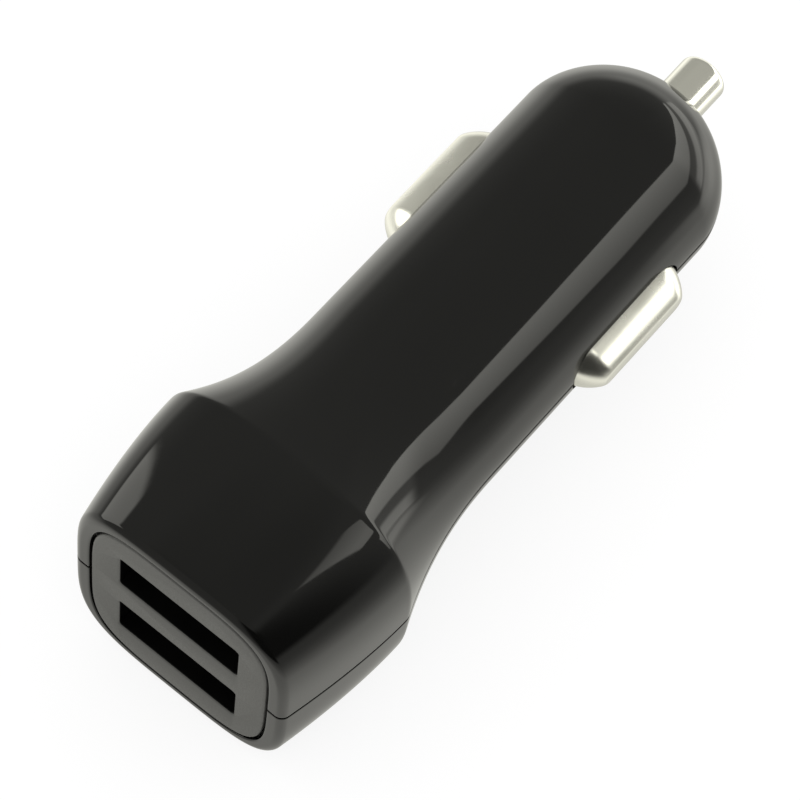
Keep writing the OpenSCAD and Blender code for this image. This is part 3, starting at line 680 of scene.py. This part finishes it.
# A hanging light over the right of the head, on a cylinder round middleY
hanging = {
    "radius": 150, "middleY": 43, "left": 106.5, "low": 46, "high": 66.3, "level": (2.05, 1.2), "levelFrom": 52,
    "at": (42, 48, 51, 54, 57, 60, 66, 70), "right": (117, 117.5, 118.5, 121, 124.5, 128.5, 129, 129),
    "margin": 3, "end": 136, "softLeft": 1.6, "softRight": 1.2, "softLow": 1.2, "softHigh": 3,
}
# The floor's level for gloss and metal at distances away, on the right and on the left of the plug: painted
# light and shade, lowest next to the plug as its painted shadow and higher on the left. It covers the tent up to
# near and is gone at fade. pool is a painted pool of light: x, y, reach and level
floor = {
    "z": -13.1, "innerR": 0.5, "near": 45, "fade": 150, "radius": 3000, "diffuse": 0.22, "glow": 0.83, "sideSoft": 40,
    "away": (15, 22, 32, 41, 58, 84), "right": (0.6, 0.75, 0.95, 0.8, 0.6, 0.5),
    "left": (0.6, 0.85, 1.1, 1.1, 0.95, 0.85), "pool": (42, 108, 26, 1.6),
}
lightTint = (1, 0.992, 0.92, 1)


# Smooth step from 0 to 1
def ease(t):
    t = np.clip(t, 0, 1)
    return t * t * (3 - 2 * t)


# 1 between low and high, falling to 0 over the soft width centred on each end
def between(value, low, high, soft):
    return ease((value - low) / soft + 0.5) * ease((high - value) / soft + 0.5)


# A mesh of rows by columns with its own light level and cover at every point, as float attributes
def sheet(name, grid, level, cover, material, wrapCols=False):
    rows, cols = grid.shape[:2]
    obj = meshFrom(name, grid.reshape(-1, 3), gridFaces(rows, cols, False, wrapCols).tolist())
    for key, values in (("level", level), ("cover", cover)):
        column = obj.data.attributes.new(key, "FLOAT", "POINT")
        value = np.broadcast_to(values, (rows, cols)).astype(np.float32)
        column.data.foreach_set("value", value.ravel())
    obj.data.materials.append(material)
    return obj


# A stage material, with helpers that add a node with its inputs set and link two sockets
def stageTree(name):
    material = bpy.data.materials.new(name)
    material.use_nodes = True
    tree = material.node_tree
    tree.nodes.clear()

    def add(kind, **inputs):
        node = tree.nodes.new(kind)
        for key, value in inputs.items():
            node.inputs[key].default_value = value
        return node

    return material, add, tree.links.new


# Reads one of a sheet's attributes
def attributeNode(add, key):
    node = add("ShaderNodeAttribute")
    node.attribute_name = key
    return node.outputs["Fac"]


# The sheet's level as light, and clear where its cover is 0
def lightMaterial():
    material, add, link = stageTree("sheet_light")
    light = add("ShaderNodeEmission", Color=lightTint)
    mix = add("ShaderNodeMixShader")
    link(attributeNode(add, "level"), light.inputs["Strength"])
    link(attributeNode(add, "cover"), mix.inputs["Fac"])
    link(add("ShaderNodeBsdfTransparent").outputs[0], mix.inputs[1])
    link(light.outputs[0], mix.inputs[2])
    link(mix.outputs[0], add("ShaderNodeOutputMaterial").inputs["Surface"])
    return material


# Hides a sheet from all rays but glossy ones
def onlyGlossy(obj):
    obj.visible_camera = obj.visible_diffuse = obj.visible_shadow = obj.visible_transmission = False
    obj.visible_volume_scatter = False


# A sphere round the plug whose level follows the list of soft windows
def makeTent(material):
    k = tent
    azimuth = np.linspace(-180, 180, 481)[None, :-1]
    elevation = np.linspace(-89.5, 89.5, 300)[:, None]
    level = np.full(np.broadcast(azimuth, elevation).shape, k["level"])
    for azFrom, azTo, elFrom, elTo, softAz, softEl, value in k["windows"]:
        middle, half = (azFrom + azTo) / 2, (azTo - azFrom) / 2
        # a window right round the tent reaches past its own ends, so that it has no seam
        reach = half + (half == 180)
        side = (azimuth - middle + 180) % 360 - 180
        share = between(side, -reach, reach, softAz) * between(elevation, elFrom, elTo, softEl)
        level = level + (value - level) * share
    a, e = np.radians(azimuth), np.radians(elevation)
    x, y, z = np.sin(a) * np.cos(e), -np.cos(a) * np.cos(e), np.sin(e)
    grid = np.stack(np.broadcast_arrays(x, y, z), -1) * k["radius"]
    grid[..., 1] += k["middleY"]
    onlyGlossy(sheet("tent", grid, level, 1.0, material, wrapCols=True))


# u runs along the wall and z up; every soft edge is a smooth step across its own width
def makeWall(material):
    k = wall
    a = math.radians(k["azimuth"])
    outward, along = np.array([math.sin(a), -math.cos(a), 0]), np.array([math.cos(a), math.sin(a), 0])
    u = np.linspace(k["left"] - k["margin"], k["right"], 320)[:, None]
    z = np.linspace(k["bottom"], k["top"], 301)[None, :]
    middle = np.array([0, k["middleY"], 0]) + outward * k["distance"]
    grid = middle + u[..., None] * along + z[..., None] * np.array([0, 0, 1])
    upper, lower = np.interp(u, k["at"], k["upper"]), np.interp(u, k["at"], k["lower"])
    band = (ease((upper - z) / k["softUpper"] + 0.5) * ease((z - lower) / k["softLower"] + 0.5)
            * ease((u - k["left"]) / k["softLeft"] + 0.5))
    second = (ease((k["secondTop"] - z) / k["secondSoftTop"] + 0.5)
              * ease((u - k["secondLeft"]) / k["secondSoftLeft"] + 0.5))
    dim = (ease((u - k["secondLeft"]) / k["dimSoft"] + k["dimShift"])
           * ease((lower + k["dimAbove"] - z) / k["dimAbove"]))
    (riseFrom, riseOver), (gainFrom, gainOver) = k["riseZ"], k["gainAt"]
    bright = (k["bright"] + k["rise"] * np.clip((z - riseFrom) / riseOver, 0, 1)
              + k["gain"] * ease((u - gainFrom) / gainOver))
    level = k["dim"] + (k["second"] - k["dim"]) * second
    level = level + (bright - level) * band
    fade = ease((k["right"] - u) / k["fade"])
    onlyGlossy(sheet("wall_light", grid, level, np.maximum(band, dim) * fade, material))


# Its right end leans: the azimuth of right at each elevation of at
def makeHanging(material):
    k = hanging
    azimuth = np.linspace(k["left"] - k["margin"], k["end"], 160)[:, None]
    elevation = np.linspace(k["low"] - k["margin"], k["high"] + k["margin"], 120)[None, :]
    a = np.radians(azimuth)
    x, y = k["radius"] * np.sin(a), k["middleY"] - k["radius"] * np.cos(a)
    grid = np.stack(np.broadcast_arrays(x, y, k["radius"] * np.tan(np.radians(elevation))), -1)
    right = np.interp(elevation, k["at"], k["right"])
    cover = (ease((azimuth - k["left"]) / k["softLeft"] + 0.5) * ease((right - azimuth) / k["softRight"] + 0.5)
             * ease((elevation - k["low"]) / k["softLow"] + 0.5) * ease((k["high"] - elevation) / k["softHigh"] + 0.5))
    level = np.interp(elevation, (k["levelFrom"], k["high"]), k["level"])
    onlyGlossy(sheet("hanging_light", grid, level, cover, material))


lightSheet = lightMaterial()
makeTent(lightSheet)
makeWall(lightSheet)
makeHanging(lightSheet)


# A white round table. The camera sees it pure white but for the plug's faint shadow. Gloss and metal see
# a painted level on it, which follows the distance from the plug, lowest next to it as its painted shadow, and
# differs from left to right, with a painted pool of light behind at the right, and which fades into the tent further
# out
def makeFloor():
    k = floor
    middleY = tent["middleY"]
    near, far = np.linspace(k["innerR"], k["fade"] * 1.3, 60), np.geomspace(k["fade"] * 1.4, k["radius"], 20)
    r = np.concatenate([near, far])[:, None]
    turn = np.linspace(0, 2 * math.pi, 181)[None, :-1]
    x, y = r * np.cos(turn), r * np.sin(turn) + middleY
    grid = np.stack([x, y, np.full(x.shape, float(k["z"]))], -1)
    away = np.hypot(x, np.maximum(np.abs(y - middleY) - middleY, 0))
    cover = 1 - ease((away - k["near"]) / (k["fade"] - k["near"]))
    # painted light and shade for gloss: lowest next to the plug as its painted shadow, higher on the left, and a
    # painted pool of light
    level = np.interp(away, k["away"], k["left"])
    level = level + (np.interp(away, k["away"], k["right"]) - level) * ease(x / k["sideSoft"] + 0.5)
    poolX, poolY, reach, value = k["pool"]
    level = level + (value - level) * ease(1.5 - np.hypot(x - poolX, y - poolY) / reach)
    material, add, link = stageTree("floor_white")
    diffuse = add("ShaderNodeBsdfDiffuse", Color=(k["diffuse"], k["diffuse"], k["diffuse"], 1))
    plain = add("ShaderNodeAddShader")
    faded, total = add("ShaderNodeMixShader"), add("ShaderNodeMixShader")
    link(diffuse.outputs[0], plain.inputs[0])
    link(add("ShaderNodeEmission", Strength=k["glow"]).outputs[0], plain.inputs[1])
    link(attributeNode(add, "cover"), faded.inputs["Fac"])
    link(add("ShaderNodeBsdfTransparent").outputs[0], faded.inputs[1])
    mirrored = add("ShaderNodeEmission", Color=lightTint)
    link(attributeNode(add, "level"), mirrored.inputs["Strength"])
    link(mirrored.outputs[0], faded.inputs[2])
    link(add("ShaderNodeLightPath").outputs["Is Glossy Ray"], total.inputs["Fac"])
    link(plain.outputs[0], total.inputs[1])
    link(faded.outputs[0], total.inputs[2])
    link(total.outputs[0], add("ShaderNodeOutputMaterial").inputs["Surface"])
    sheet("floor", grid, level, cover, material, wrapCols=True)


makeFloor()


# White for the camera, gloss and glass; a plain even level for the matt surfaces.
worldLevel = {"matt": 0.95, "seen": 1.0}


# The largest of the three ray flags picks the level
def makeWorld():
    world = bpy.data.worlds.new("studio")
    bpy.context.scene.world = world
    world.use_nodes = True
    tree = world.node_tree
    background = tree.nodes["Background"]
    background.inputs["Color"].default_value = (1, 1, 1, 1)
    paths = tree.nodes.new("ShaderNodeLightPath")
    seen = paths.outputs["Is Camera Ray"]
    for ray in ("Is Glossy Ray", "Is Transmission Ray"):
        larger = tree.nodes.new("ShaderNodeMath")
        larger.operation = "MAXIMUM"
        tree.links.new(seen, larger.inputs[0])
        tree.links.new(paths.outputs[ray], larger.inputs[1])
        seen = larger.outputs[0]
    level = tree.nodes.new("ShaderNodeMapRange")
    level.inputs["To Min"].default_value = worldLevel["matt"]
    level.inputs["To Max"].default_value = worldLevel["seen"]
    tree.links.new(seen, level.inputs["Value"])
    tree.links.new(level.outputs["Result"], background.inputs["Strength"])


makeWorld()

# Camera
view = {
    "azimuth": 31.56, "elevation": 63.78, "roll": 8.71, "distance": 350.06, "focal": 4027.32,
    "shiftRight": -3.5, "shiftUp": -3.71, "target": (0, 35, 0), "frame": 800, "sensor": 36, "clip": (0.01, 20),
}


# Looks along the direction from azimuth and elevation, turned by roll, at the photograph's distance.
def makeCamera():
    a, e, r = (math.radians(view[key]) for key in ("azimuth", "elevation", "roll"))
    back = Vector((math.sin(a) * math.cos(e), -math.cos(a) * math.cos(e), math.sin(e)))
    level = Vector((math.cos(a), math.sin(a), 0))
    above = back.cross(level)
    right = math.cos(r) * level + math.sin(r) * above
    up = math.cos(r) * above - math.sin(r) * level
    data = bpy.data.cameras.new("camera")
    data.sensor_width = view["sensor"]
    data.lens = view["focal"] * view["sensor"] / view["frame"]
    data.clip_start, data.clip_end = view["clip"]
    obj = bpy.data.objects.new("camera", data)
    bpy.context.scene.collection.objects.link(obj)
    eye = (Vector(view["target"]) + back * view["distance"]
           + right * view["shiftRight"] + up * view["shiftUp"]) * mm
    obj.matrix_world = Matrix((*zip(right, up, back, eye), (0, 0, 0, 1)))
    bpy.context.scene.camera = obj


makeCamera()
bpy.context.scene.view_settings.view_transform = "Standard"
print("stage: studio and camera")
